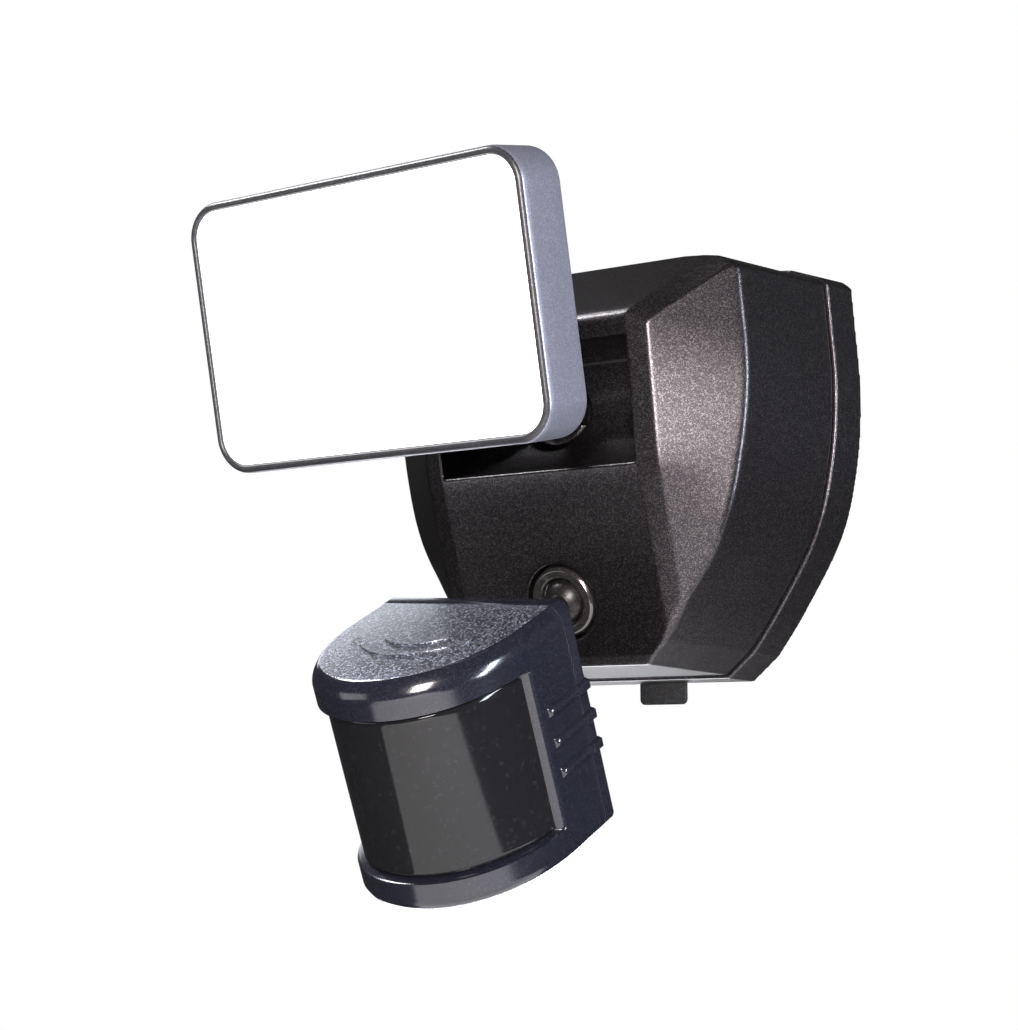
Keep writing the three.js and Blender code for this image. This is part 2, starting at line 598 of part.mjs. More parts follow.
// D-shaped plan: flat back, straight sides and a round front, inset by d. from is the back's y.
function sensorLoop(d, z, from = 0) {
  const { w, straight, deep } = SENSOR;
  const half = w / 2 - d;
  const loop = [new THREE.Vector3(half, from, z)];
  for (let i = 0; i <= ARC_STEPS; i += 1) {
    const a = (PI * i) / ARC_STEPS;
    const x = half * Math.sign(cos(a)) * Math.abs(cos(a)) ** 0.94;
    loop.push(new THREE.Vector3(x, -straight - (deep - d - straight) * sin(a) ** 0.94, z));
  }
  return [...loop, new THREE.Vector3(-half, from, z)];
}

const sensorSlab = (profile, from) => skin(profile.map(([d, z]) => sensorLoop(d, z, from)), flatXY);
const BACK_COVER = 6;
const RECESS = 2.5;                  // the window sits this far inside the caps
const RIB_LEVELS = [-29, -39.3, -49.6];

// The head's outer form, in front of the plane y = from.
const sensorForm = (from) => {
  const { h } = SENSOR;
  const profile = [[3.8, 0], [2.7, -0.8], [0.7, -3.4], [0, -5.4], [0, -h + 2.4], [0.8, -h + 0.8], [2, -h]];
  return sensorSlab(profile, from);
};

// Raised grips on both sides, between two depths.
function ribs(fromY, toY) {
  const half = SENSOR.w / 2;
  const all = [];
  for (const side of [-1, 1]) {
    for (const level of RIB_LEVELS) {
      const rib = rod(2, -toY, -fromY, 8, at(side * half, 0, level, PI / 2));
      all.push(rib.intersect(box(4.6, 200, 10, side * (half - 0.9), 0, level)));
    }
  }
  return all;
}

const HEAD_SCREWS = [[-30, -10], [30, -10], [-30, -66], [30, -66]];
const KNOBS = { time: [-15, -24], range: [15, -24] };
const FLOOR = 2.6;
const WINDOW_EDGE = 1.8;             // the window stops this far inside its recess, top and bottom

function sensorFrontBody() {
  const { h, cap, foot } = SENSOR;
  const back = -BACK_COVER - GAP;
  const front = box(200, 100, 200, 0, WINDOW_FRONT - 50, -h / 2);
  const [above, below] = [-cap - 1.2, 1.2 - foot];
  const keep = sensorSlab([[-1, 5], [-1, 2 - cap], [RECESS, above], [RECESS, below], [-1, -foot - 2],
    [-1, -h - 5]], back);
  let body = sensorForm(back).subtract(front.subtract(keep));
  body = body.subtract(sensorSlab([[6.4, -FLOOR], [4.9, -6], [4.9, -h + FLOOR]], back + 1));
  const high = foot - cap - 2 * WINDOW_EDGE;
  body = body.subtract(box(200, 100, high, 0, WINDOW_FRONT - 51.4, -(cap + foot) / 2));
  for (const rib of ribs(-21, back)) body = body.add(rib);
  for (const [x, z] of HEAD_SCREWS) {
    body = body.add(rod(3.4, -back, 20, 10, at(x, 0, z, PI / 2)).intersect(sensorForm(back)));
    body = body.subtract(rod(1.5, 0, 17, 8, at(x, 0, z, PI / 2)));
  }
  for (const [x, y] of Object.values(KNOBS)) {
    body = body.subtract(rod(2.3, -h - 5, -h + 10, 12, at(x, y, 0)));
  }
  return body;
}

function sensorWindow() {
  const { cap, foot } = SENSOR;
  const [high, low] = [-cap - WINDOW_EDGE - GAP, -foot + WINDOW_EDGE + GAP];
  const outer = sensorSlab([[RECESS, high], [RECESS, low]], 0);
  const inner = sensorSlab([[RECESS + 1.8, high + 1], [RECESS + 1.8, low - 1]], 1);
  const front = box(200, 100, 200, 0, WINDOW_FRONT - 51.4 - GAP, -40);
  return outer.subtract(inner).intersect(front);
}

const edgedPlate = (w, h, r, y, step, shift) => [
  roundedLoop(w, h, r, y), roundedLoop(w - 2 * step, h - 2 * step, r, y + step)]
  .map((loop) => loop.map((p) => p.setZ(p.z + shift)));

function sensorBackCover() {
  const { w, h } = SENSOR;
  const rear = box(200, BACK_COVER, 200, 0, -BACK_COVER / 2, -h / 2);
  const eased = skin([...edgedPlate(w + 3, h + 3, 3, -BACK_COVER - 1, 0, -h / 2),
    ...edgedPlate(w + 0.6, h + 0.6, 2.4, -1.4, 1.4, -h / 2)], flatXZ);
  let cover = sensorForm(0).intersect(rear).intersect(eased);
  for (const rib of ribs(-BACK_COVER, -0.6)) cover = cover.add(rib);
  cover = cover.subtract(box(w - 14, 10, h - 14, 0, -3.6 - 5, -h / 2));
  cover = cover.add(rod(9, -2, 3.4, 24, at(0, 0, -STEM_BELOW_TOP, PI / 2)));
  cover = cover.subtract(rod(STEM_R + GAP, -5, 20, 20, at(0, 0, -STEM_BELOW_TOP, PI / 2)));
  for (const [x, z] of HEAD_SCREWS) {
    cover = cover.subtract(rod(2.9, -1, 2.4, 10, at(x, 0, z, PI / 2)));
    cover = cover.subtract(rod(1.7, -1, 20, 8, at(x, 0, z, PI / 2)));
  }
  return cover;
}

const PLATE_TOP = -SENSOR.h - GAP;
const BOTTOM_PLATE_T = 2.2;

function sensorBottomPlate() {
  const low = PLATE_TOP - BOTTOM_PLATE_T;
  let plate = sensorSlab([[2.4, PLATE_TOP], [2.8, low + 0.8], [4.2, low]], -BACK_COVER - 1.5);
  for (const [x, y] of Object.values(KNOBS)) plate = plate.subtract(rod(6.3, -100, 0, 20, at(x, y, 0)));
  return plate;
}

function knob() {
  const top = PLATE_TOP - 0.2;
  const low = PLATE_TOP - BOTTOM_PLATE_T - 2.4;
  const body = turned([[0, low], [5.2, low], [5.8, low + 0.6], [5.8, top], [1.9, top], [1.9, top + 9],
    [0, top + 9]], 16);
  return body.subtract(box(1.4, 20, 2.4, 0, 0, low));
}

add('sensor_front_body', sensorFrontBody(), GLOSS_BLACK, sensorHead);
add('sensor_window', sensorWindow(), finish(0x1b1b1f, 0.12), sensorHead);
add('sensor_back_cover', sensorBackCover(), GLOSS_BLACK, sensorHead);
add('sensor_bottom_plate', sensorBottomPlate(), finish(0xc9ccd8, 0.4), sensorHead);
for (const [name, [x, y]] of Object.entries(KNOBS)) {
  add(`${name}_knob`, knob(), DARK_PLASTIC, sensorHead).position.set(x, y, 0);
}
add('sensor_board', box(46, 1.6, 40, 0, -22, -46), BOARD, sensorHead);
const PIR_PROFILE = [[0, 23.1], [5, 23.1], [5, 23.7], [4.2, 23.9], [4.2, 27.4], [3.8, 27.8], [0, 27.8]];
add('pir_element', turned(PIR_PROFILE, 14, at(0, 0, -40, PI / 2)), STEEL, sensorHead);
HEAD_SCREWS.forEach(([x, z], i) => {
  const profile = [[0, 0.2], [2.6, 0.2], [2.6, 2], [1.2, 2.1], [1.2, 15], [0, 16]];
  add(`sensor_screw_${i + 1}`, turned(profile, 10, at(x, 0, z, PI / 2)), STEEL, sensorHead);
});

// ---------------------------------------------------------------- sensor arm

const HEAD_START = SENSOR_STEM - 2;  // the boss on the head's back
add('sensor_ball_stem', ballStem(HEAD_START, (end) => [[STEM_R, 9], [STEM_R, 11], [6.2, 14], [6.2, end - 6.4],
  [STEM_R, end - 6.2], [STEM_R, end + 7], [0, end + 7]]), BRONZE, sensorArm);
add('sensor_lock_nut', hexNut(8.4, STEM_R + GAP, HEAD_START - 5.8, HEAD_START - GAP), STEEL, sensorArm);

function ballLiner() {
  const [near, far] = [BALL_R + GAP, CAVITY_R - GAP];
  const arc = (r, from, to, n) => Array.from({ length: n + 1 }, (_, i) => {
    const a = degToRad(lerp(from, to, i / n));
    return [r * cos(a), r * sin(a)];
  });
  const inner = arc(near, -60, -28, 4);
  return turned([...inner, ...arc(far, -28, -60, 4), inner[0]], 16);
}

add('sensor_ball_liner', ballLiner(), NYLON, sensorSocket);

// ---------------------------------------------------------------- leads inside the housing

const LAMP_ROUTE = [[-6, -13, 8], [-8, -24, 14], [-4, -36, 24], [0, -46, 27.5], [0, -50.6, 27.5]];
const SENSOR_ROUTE = [[4, -13, -26], [6, -22, -33], [2, -36, -33], [0, -44, -30.8], [0, -49.2, -32]];
add('lamp_lead', tubeAlong(LAMP_ROUTE, 2.4), LEAD);
add('sensor_lead', tubeAlong(SENSOR_ROUTE, 2.2), LEAD);

export default assembly;
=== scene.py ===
# The looks of the wall floodlight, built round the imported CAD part. Lengths are in millimetres until
# raw_object turns them into metres. Lights, floor and camera are placed in metres.

import json
import math

import bmesh
import bpy
import numpy as np
from mathutils import Matrix, Vector


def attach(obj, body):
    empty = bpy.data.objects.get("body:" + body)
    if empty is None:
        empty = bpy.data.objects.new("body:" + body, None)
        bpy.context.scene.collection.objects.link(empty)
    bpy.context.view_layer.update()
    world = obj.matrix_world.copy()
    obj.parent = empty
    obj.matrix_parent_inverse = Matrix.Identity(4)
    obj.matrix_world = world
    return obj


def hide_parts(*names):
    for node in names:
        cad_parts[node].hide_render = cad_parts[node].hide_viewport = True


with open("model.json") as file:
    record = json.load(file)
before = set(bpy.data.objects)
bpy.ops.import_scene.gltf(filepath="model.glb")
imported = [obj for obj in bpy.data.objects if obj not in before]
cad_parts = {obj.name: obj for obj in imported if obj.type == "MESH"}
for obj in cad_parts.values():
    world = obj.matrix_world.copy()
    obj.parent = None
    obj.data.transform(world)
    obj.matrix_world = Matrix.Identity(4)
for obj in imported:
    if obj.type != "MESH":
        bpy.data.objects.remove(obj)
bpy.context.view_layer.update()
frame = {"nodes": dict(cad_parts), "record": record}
nodes = frame["nodes"]
slots = {part["node"]: part["material_slot"] for part in frame["record"]["subparts"]}
bodies = {
    node: name
    for name, group in frame["record"]["behaviour"]["bodies"].items()
    for node in group
}
MM = 0.001
PI = math.pi


# ------------------------------------------------------------------ frames

def turn(axis, angle):
    return np.array(Matrix.Rotation(angle, 4, axis))


def move(x, y, z):
    return np.array(Matrix.Translation((x, y, z)))


def frame_zxy(origin, rx, ry, rz):
    return move(*origin) @ turn("Z", rz) @ turn("X", rx) @ turn("Y", ry)


def placed(points, matrix):
    points = np.asarray(points, float)
    return points @ matrix[:3, :3].T + matrix[:3, 3]


# Where the photograph shows each head. The centres of the balls and of the knuckle's pin are in the part's
# frame. The heads' own frames have their origin in the middle of the front or the top.
LAMP_BALL = np.array([0, -64, 27.5])
SENSOR_BALL = np.array([0, -63, -36.8])
PANEL_TILT = math.radians(18.8)
LAMP_PAN = math.radians(-1.4)
LAMP_TILT = math.radians(11.7)
PIN = np.array([-1.6, -131.3, 36])
PIN_IN_LAMP = [0, 42, -17]
ARM_LENGTH = float(np.linalg.norm(PIN - LAMP_BALL))
ARM_RISE = math.asin((PIN - LAMP_BALL)[2] / ARM_LENGTH)
ARM = frame_zxy(LAMP_BALL, PI / 2 - ARM_RISE, 0, LAMP_PAN)
LAMP_TURN = turn("Z", LAMP_PAN) @ turn("X", LAMP_TILT)
LAMP = move(*(PIN - placed([PIN_IN_LAMP], LAMP_TURN)[0])) @ LAMP_TURN
SENSOR_YAW, SENSOR_TILT, SENSOR_ROLL = (math.radians(a) for a in (-1.4, 25.5, 3.5))
SENSOR_ARM = frame_zxy(SENSOR_BALL, PI / 2 + SENSOR_TILT, 0, SENSOR_YAW)
SENSOR_TURN = turn("Z", SENSOR_YAW) @ turn("X", SENSOR_TILT) @ turn("Y", SENSOR_ROLL)
SENSOR_ARM_LENGTH = 51.5
TOP_ABOVE_STEM = 21.8
STEM_FOOT = placed([[0, 0, SENSOR_ARM_LENGTH]], SENSOR_ARM)[0]
SENSOR = move(*(STEM_FOOT + placed([[0, 0, TOP_ABOVE_STEM]], SENSOR_TURN)[0])) @ SENSOR_TURN
SENSOR_SOCKET = frame_zxy(SENSOR_BALL, PI / 2 + PANEL_TILT, 0, 0)
LAMP_SOCKET = frame_zxy(LAMP_BALL, PI / 2, 0, 0)
WORLD = np.eye(4)


# ------------------------------------------------------------------ mesh helpers

def loft(loops, ring=False):
    """Vertices and faces of equal loops joined in order, closed by end caps or back to the first loop."""
    n = len(loops[0])
    rows = len(loops)
    faces = []
    for s in range(rows if ring else rows - 1):
        a = s * n
        b = ((s + 1) % rows) * n
        for i in range(n):
            j = (i + 1) % n
            faces.append((a + i, a + j, b + j, b + i))
    if not ring:
        faces.append(tuple(range(n))[::-1])
        faces.append(tuple(range((rows - 1) * n, rows * n)))
    return np.vstack([np.asarray(loop, float) for loop in loops]), faces


def raw_object(name, shape, matrix=WORLD):
    """An object of vertices and faces in millimetres, its faces turned outwards."""
    points, faces = shape
    mesh = bpy.data.meshes.new(name)
    mesh.from_pydata((placed(points, matrix) * MM).tolist(), [], faces)
    work = bmesh.new()
    work.from_mesh(mesh)
    bmesh.ops.remove_doubles(work, verts=work.verts, dist=1e-7)
    bmesh.ops.dissolve_degenerate(work, edges=work.edges, dist=1e-7)
    bmesh.ops.recalc_face_normals(work, faces=work.faces)
    if work.calc_volume(signed=True) < 0:
        bmesh.ops.reverse_faces(work, faces=work.faces)
    work.to_mesh(mesh)
    work.free()
    obj = bpy.data.objects.new(name, mesh)
    bpy.context.collection.objects.link(obj)
    return obj


def applied(obj):
    """Keeps the result of the object's modifiers as its mesh."""
    graph = bpy.context.evaluated_depsgraph_get()
    mesh = bpy.data.meshes.new_from_object(obj.evaluated_get(graph))
    old = obj.data
    obj.modifiers.clear()
    obj.data = mesh
    bpy.data.meshes.remove(old)
    return obj


def combine(obj, how, others):
    """Cuts or joins the others into the object, and removes them."""
    for other in others:
        change = obj.modifiers.new(how, "BOOLEAN")
        change.operation = how
        change.solver = "MANIFOLD"
        change.object = other
    applied(obj)
    for other in others:
        bpy.data.objects.remove(other)
    return obj


def finish_piece(obj, body, slot, stands_for=(), sharp=32):
    """Shades the object, gives it its slot's look and fixes it to a body in place of the CAD nodes."""
    obj.data.shade_smooth()
    obj.data.set_sharp_from_angle(angle=math.radians(sharp))
    obj.data.materials.clear()
    obj.data.materials.append(look(slot))
    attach(obj, body)
    if stands_for:
        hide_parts(*stands_for)
    return obj


def lathe(name, profile, matrix, sides=72, ring=False):
    """A round piece about Z. profile lists (radius, height)."""
    angles = np.arange(sides) * 2 * PI / sides
    loops = []
    for radius, z in profile:
        r = max(radius, 1e-4)
        loops.append(np.stack([r * np.cos(angles), r * np.sin(angles), np.full(sides, z)], 1))
    return raw_object(name, loft(loops, ring), matrix)


def rod(r, low, high, matrix, sides=48):
    return lathe("cutter", [(r, low), (r, high)], matrix, sides)


def block(w, d, h, x, y, z):
    a, b = w / 2, d / 2
    square = [(x - a, y - b), (x + a, y - b), (x + a, y + b), (x - a, y + b)]
    loops = [[(u, v, z + side * h / 2) for u, v in square] for side in (-1, 1)]
    return raw_object("cutter", loft(loops))


def rounded_profile(points, radius, steps=4, closed=False):
    """Rounds the corners of an open or closed profile of (u, v) points."""
    points = [np.array(p, float) for p in points]
    n = len(points)
    out = []
    for i, p in enumerate(points):
        if not closed and i in (0, n - 1):
            out.append(tuple(p))
            continue
        before = points[i - 1] - p
        after = points[(i + 1) % n] - p
        reach = min(radius, 0.45 * np.linalg.norm(before), 0.45 * np.linalg.norm(after))
        start = p + before / np.linalg.norm(before) * reach
        end = p + after / np.linalg.norm(after) * reach
        for k in range(steps + 1):
            t = k / steps
            out.append(tuple((1 - t) ** 2 * start + 2 * t * (1 - t) * p + t * t * end))
    return out


FACE_SIZE = 0.42


def soften(obj, rounds):
    """Even small faces and slightly rounded edges."""
    remesh = obj.modifiers.new("remesh", "REMESH")
    remesh.mode = "VOXEL"
    remesh.voxel_size = FACE_SIZE * MM
    smooth = obj.modifiers.new("smooth", "SMOOTH")
    smooth.factor = 0.5
    smooth.iterations = rounds
    return applied(obj)


def refined(node, bevel, segments=2):
    """A cleaner copy of a CAD node with eased edges."""
    mesh = nodes[node].data.copy()
    work = bmesh.new()
    work.from_mesh(mesh)
    bmesh.ops.remove_doubles(work, verts=work.verts, dist=2e-6)
    bmesh.ops.dissolve_limit(work, angle_limit=math.radians(1.5), verts=work.verts, edges=work.edges)
    work.to_mesh(mesh)
    work.free()
    obj = bpy.data.objects.new(f"{node}_shown", mesh)
    bpy.context.collection.objects.link(obj)
    ease = obj.modifiers.new("ease", "BEVEL")
    ease.width = bevel * MM
    ease.segments = segments
    ease.limit_method = "ANGLE"
    ease.angle_limit = math.radians(30)
    applied(obj)
    return finish_piece(obj, bodies[node], slots[node], [node])


# ------------------------------------------------------------------ materials

looks = {}


def socket(node, name, value):
    node.inputs[name].default_value = value


def set_all(node, **values):
    """Sets several sockets. An underscore in a name stands for a space."""
    for name, value in values.items():
        socket(node, name.replace("_", " "), value)


def painted(name, base, flake, share, rough, metal, scale=1500, bump=0.12, coat=0.0, wear_and_highlight=0.25, spread=0.12,
            shine=0.5, edges=(0.53, 0.66)):
    """Paint or moulding with fine grain, scattered flakes, soft mottling and paler edges, which are partly
    wear and partly a painted highlight.
    """
    material = bpy.data.materials.new(name)
    material.use_nodes = True
    tree = material.node_tree
    shader = tree.nodes["Principled BSDF"]
    new, link = tree.nodes.new, tree.links.new
    where = new("ShaderNodeTexCoord")

    cells = new("ShaderNodeTexVoronoi")
    socket(cells, "Scale", scale)
    link(where.outputs["Object"], cells.inputs["Vector"])
    split = new("ShaderNodeSeparateColor")
    link(cells.outputs["Color"], split.inputs["Color"])
    chosen = new("ShaderNodeMapRange")
    set_all(chosen, From_Min=1 - share, From_Max=1.0, To_Min=0.0, To_Max=1.0)
    link(split.outputs["Red"], chosen.inputs["Value"])

    grain = new("ShaderNodeTexNoise")
    set_all(grain, Scale=scale * 0.7, Detail=3.0)
    link(where.outputs["Object"], grain.inputs["Vector"])
    mottle = new("ShaderNodeTexNoise")
    set_all(mottle, Scale=38.0, Detail=4.0)
    link(where.outputs["Object"], mottle.inputs["Vector"])

    shade = new("ShaderNodeMix")
    shade.data_type = "RGBA"
    socket(shade, 6, (*[c * (1 - spread) for c in base], 1))
    socket(shade, 7, (*[min(1, c * (1 + spread)) for c in base], 1))
    link(mottle.outputs["Fac"], shade.inputs[0])
    speckle = new("ShaderNodeMix")
    speckle.data_type = "RGBA"
    link(chosen.outputs["Result"], speckle.inputs[0])
    link(shade.outputs[2], speckle.inputs[6])
    socket(speckle, 7, (*flake, 1))

    # Sharp edges, found by Pointiness, turn paler: partly wear, partly a painted highlight along the edges.
    shape = new("ShaderNodeNewGeometry")
    edge = new("ShaderNodeMapRange")
    set_all(edge, From_Min=edges[0], From_Max=edges[1], To_Min=0.0, To_Max=wear_and_highlight)
    link(shape.outputs["Pointiness"], edge.inputs["Value"])
    worn_and_lit = new("ShaderNodeMix")
    worn_and_lit.data_type = "RGBA"
    link(edge.outputs["Result"], worn_and_lit.inputs[0])
    link(speckle.outputs[2], worn_and_lit.inputs[6])
    socket(worn_and_lit, 7, (*[min(1, 0.5 * (c + f) + 0.06) for c, f in zip(base, flake)], 1))
    link(worn_and_lit.outputs[2], shader.inputs["Base Color"])

    dull = new("ShaderNodeMapRange")
    set_all(dull, To_Min=max(0.02, rough - 0.07), To_Max=rough + 0.07)
    link(grain.outputs["Fac"], dull.inputs["Value"])
    link(dull.outputs["Result"], shader.inputs["Roughness"])

    relief = new("ShaderNodeBump")
    set_all(relief, Strength=bump, Distance=0.0002)
    link(grain.outputs["Fac"], relief.inputs["Height"])
    link(relief.outputs["Normal"], shader.inputs["Normal"])
    set_all(shader, Metallic=metal, Specular_IOR_Level=shine, Coat_Weight=coat, Coat_Roughness=0.08)
    return material


def glowing(name, color, strength):
    """A lit diffuser with a faint prism pattern."""
    material = painted(name, color, (1, 1, 1), 0.2, 0.4, 0, scale=700, wear_and_highlight=0, spread=0.02)
    shader = material.node_tree.nodes["Principled BSDF"]
    set_all(shader, Emission_Color=(1, 1, 1, 1), Emission_Strength=strength)
    return material


LOOKS = {
    "bronze_paint": dict(base=(0.0165, 0.0152, 0.0172), flake=(0.062, 0.057, 0.06), share=0.4, rough=0.3,
                         metal=0.93, scale=3600, bump=0.16, wear_and_highlight=0.5, edges=(0.53, 0.6), shine=0.2),
    "bronze_gloss": dict(base=(0.014, 0.013, 0.0135), flake=(0.04, 0.036, 0.036), share=0.3, rough=0.18,
                         metal=0.6, scale=3600, bump=0.04, wear_and_highlight=0.4, shine=0.5, coat=0.3),
    "graphite_paint": dict(base=(0.075, 0.077, 0.1), flake=(0.13, 0.133, 0.165), share=0.35, rough=0.38,
                           metal=0.6, scale=3600, bump=0.12, wear_and_highlight=0.5),
    # A darker copy of the graphite paint for the bezel's front ring: painted shade that holds down the
    # strong front light there.
    "rim_painted_shade": dict(base=(0.012, 0.012, 0.014), flake=(0.03, 0.03, 0.034), share=0.3, rough=0.34,
                      metal=0.4, scale=3000, bump=0.1, wear_and_highlight=0.35, shine=0.25),
    "gloss_black": dict(base=(0.0035, 0.0036, 0.006), flake=(0.008, 0.0085, 0.013), share=0.3, rough=0.16,
                        metal=0.1, scale=3000, bump=0.03, wear_and_highlight=0.04, shine=0.3),
    "grained_black": dict(base=(0.02, 0.021, 0.027), flake=(0.25, 0.265, 0.35), share=0.35, rough=0.3,
                          metal=0.6, scale=2300, bump=0.55, wear_and_highlight=0.05),
    "smoked_window": dict(base=(0.003, 0.003, 0.0035), flake=(0.005, 0.005, 0.006), share=0.1, rough=0.09,
                          metal=0, scale=900, bump=0.012, wear_and_highlight=0.02, shine=0.14),
    "pale_plastic": dict(base=(0.33, 0.35, 0.44), flake=(0.42, 0.44, 0.52), share=0.1, rough=0.42,
                         metal=0, bump=0.08, wear_and_highlight=0.1),
    "board_white": dict(base=(0.8, 0.8, 0.78), flake=(0.95, 0.95, 0.9), share=0.1, rough=0.45, metal=0),
    # Darkened below the housing's paint as painted shade, so the lamp's arm reads as shadowed inside the
    # recess.
    "arm_paint": dict(base=(0.006, 0.0056, 0.006), flake=(0.02, 0.019, 0.019), share=0.3, rough=0.34,
                      metal=0.6, scale=3000, bump=0.2, wear_and_highlight=0.2, shine=0.25),
    "screw_steel": dict(base=(0.5, 0.5, 0.52), flake=(0.75, 0.75, 0.76), share=0.3, rough=0.32,
                        metal=1, scale=2600, bump=0.15, wear_and_highlight=0.3),
    "plate_zinc": dict(base=(0.006, 0.006, 0.007), flake=(0.014, 0.014, 0.015), share=0.3, rough=0.6,
                       metal=0.3, scale=1700, bump=0.2, wear_and_highlight=0.2, shine=0.1),
    "foam_rubber": dict(base=(0.02, 0.02, 0.02), flake=(0.05, 0.05, 0.05), share=0.4, rough=0.85,
                        metal=0, scale=1200, bump=0.5, wear_and_highlight=0.1),
    "nylon": dict(base=(0.7, 0.68, 0.62), flake=(0.8, 0.8, 0.75), share=0.2, rough=0.5, metal=0),
    "circuit_board": dict(base=(0.02, 0.12, 0.045), flake=(0.3, 0.28, 0.1), share=0.06, rough=0.4,
                          metal=0, scale=500),
    "relay_blue": dict(base=(0.02, 0.05, 0.25), flake=(0.05, 0.1, 0.4), share=0.1, rough=0.4, metal=0),
    "terminal_green": dict(base=(0.03, 0.18, 0.08), flake=(0.06, 0.3, 0.15), share=0.1, rough=0.45, metal=0),
    "dark_plastic": dict(base=(0.02, 0.02, 0.024), flake=(0.06, 0.06, 0.07), share=0.2, rough=0.5, metal=0,
                         bump=0.3),
    "lead_jacket": dict(base=(0.02, 0.02, 0.02), flake=(0.05, 0.05, 0.05), share=0.2, rough=0.55, metal=0),
}


def look(name):
    """The material of that name, made once."""
    if name not in looks:
        if name == "diffuser_white":
            looks[name] = glowing(name, (0.95, 0.95, 0.93), 1.6)
        else:
            looks[name] = painted(name, **LOOKS[name])
    return looks[name]


for node, obj in nodes.items():
    obj.data.materials.clear()
    obj.data.materials.append(look(slots[node]))


# ------------------------------------------------------------------ housing

SHELL = 2.4
BASE_DEPTH = 15
BASE_STEP = 1.1
PAST_FRONT = -100
# The outline at the wall and the outline where the slanted faces begin, one half each, as (x, z).
EDGE_Y = -64
WALL_OUTLINE = dict(
    bottom=(37.5, -65),
    side=[(48, -56), (59.3, -40), (73.8, -15), (80.3, 10), (82.1, 35), (80.6, 58)],
    shoulder=[(79.4, 73), (76.5, 75.4), (64, 79.8)],
    top=(46, 81.5),
)
FRONT_OUTLINE = dict(
    bottom=(29.5, -61),
    side=[(38.6, -53.5), (49.1, -40), (63.8, -15), (70.6, 10), (73.4, 35), (72, 58)],
    shoulder=[(70.6, 71.8), (68.4, 73.6), (60, 77.2)],
    top=(46, 79.2),
)
# The front's profile as (y, z), from the panel's foot up to the ridge, and the half widths of its faces.
PANEL_HALF, SPINE_HALF, PANEL_RISE = 40, 47.6, 1.75
KINK, NOSE, RIDGE, RIDGE_HALF = (-81.3, 4.9), (-91, 54.5), (-58, 79.4), 57
PANEL_FOOT = (-60.3, -56.9)
SCOOP_Y, SCOOP_Z, SCOOP_R, SCOOP_HALF = -92, 25.8, 22.3, 39.6
FAN_START, EDGE_TOP = 51.5, (70.3, 74)
SOCKET_HOLE_R = 13.6
SCREW_POSTS = [(-60, -6), (60, -6), (-57, 52), (57, 52)]


def spline(points, t):
    """A point of the uniform Catmull-Rom curve through points, with t from 0 to 1."""
    p = np.array(points, float)
    last = len(p) - 1
    place = t * last
    i = min(int(place), last - 1)
    w = place - i
    p0, p1, p2, p3 = p[max(i - 1, 0)], p[i], p[i + 1], p[min(i + 2, last)]
    v0, v1 = (p2 - p0) / 2, (p3 - p1) / 2
    return (2 * p1 - 2 * p2 + v0 + v1) * w ** 3 + (3 * p2 - 3 * p1 - 2 * v0 - v1) * w ** 2 + v0 * w + p1


def whole_outline(o, steps=40):
    half = [o["bottom"], *[tuple(spline(o["side"], i / steps)) for i in range(steps + 1)],
            *o["shoulder"], o["top"]]
    return half + [(-x, z) for x, z in half[::-1]]


def inset(loop, d):
    """The loop moved inwards by d, its corners mitred."""
    points = np.array(loop, float)
    before, after = np.roll(points, 1, 0), np.roll(points, -1, 0)
    area = np.sum(points[:, 0] * after[:, 1] - after[:, 0] * points[:, 1])
    side = 1 if area > 0 else -1

    def normal(a, b):
        n = np.stack([b[:, 1] - a[:, 1], a[:, 0] - b[:, 0]], 1)
        return n / np.linalg.norm(n, axis=1, keepdims=True)

    n1, n2 = normal(before, points), normal(points, after)
    k = side * d / (1 + np.sum(n1 * n2, 1))
    return points - k[:, None] * (n1 + n2)


WALL_LOOP, FRONT_LOOP = whole_outline(WALL_OUTLINE), whole_outline(FRONT_OUTLINE)


def outline_at(y, d):
    """The housing's outline at depth y, moved inwards by d."""
    t = y / EDGE_Y
    loop = (1 - t) * np.array(WALL_LOOP) + t * np.array(FRONT_LOOP)
    return [(x, y, z) for x, z in inset(loop, d)]


def drafted(from_y, to_y, d_from, d_to=None):
    """A solid inside the outline between two depths."""
    d_to = d_from if d_to is None else d_to
    return raw_object("side", loft([outline_at(from_y, d_from), outline_at(to_y, d_to)]))


def smooth_max(a, b, k):
    """The larger of a and b, with the change from one to the other rounded by k."""
    return (a + b + math.sqrt((a - b) ** 2 + k * k)) / 2


def along(p, q, z):
    """The y at height z of the line through the (y, z) points p and q."""
    return p[0] + (q[0] - p[0]) * (z - p[1]) / (q[1] - p[1])


def spine_y(z, rise):
    """How far forward the front's middle faces lie at height z, rise in front of the spine."""
    lower = along(PANEL_FOOT, KINK, z)
    upper = along(KINK, (NOSE[0] + PANEL_RISE + 1, NOSE[1]), z)
    slope = along((NOSE[0] + PANEL_RISE, NOSE[1]), (RIDGE[0] + PANEL_RISE, RIDGE[1]), z)
    if z < PANEL_FOOT[1]:
        front = along((PANEL_FOOT[0] + 3, PANEL_FOOT[1] - 4.4), PANEL_FOOT, z)
    else:
        front = smooth_max(lower, upper, 0.9)
    return smooth_max(front, slope, 3 if z > KINK[1] else 0) - rise


EDGE_SIDE = FRONT_OUTLINE["side"]


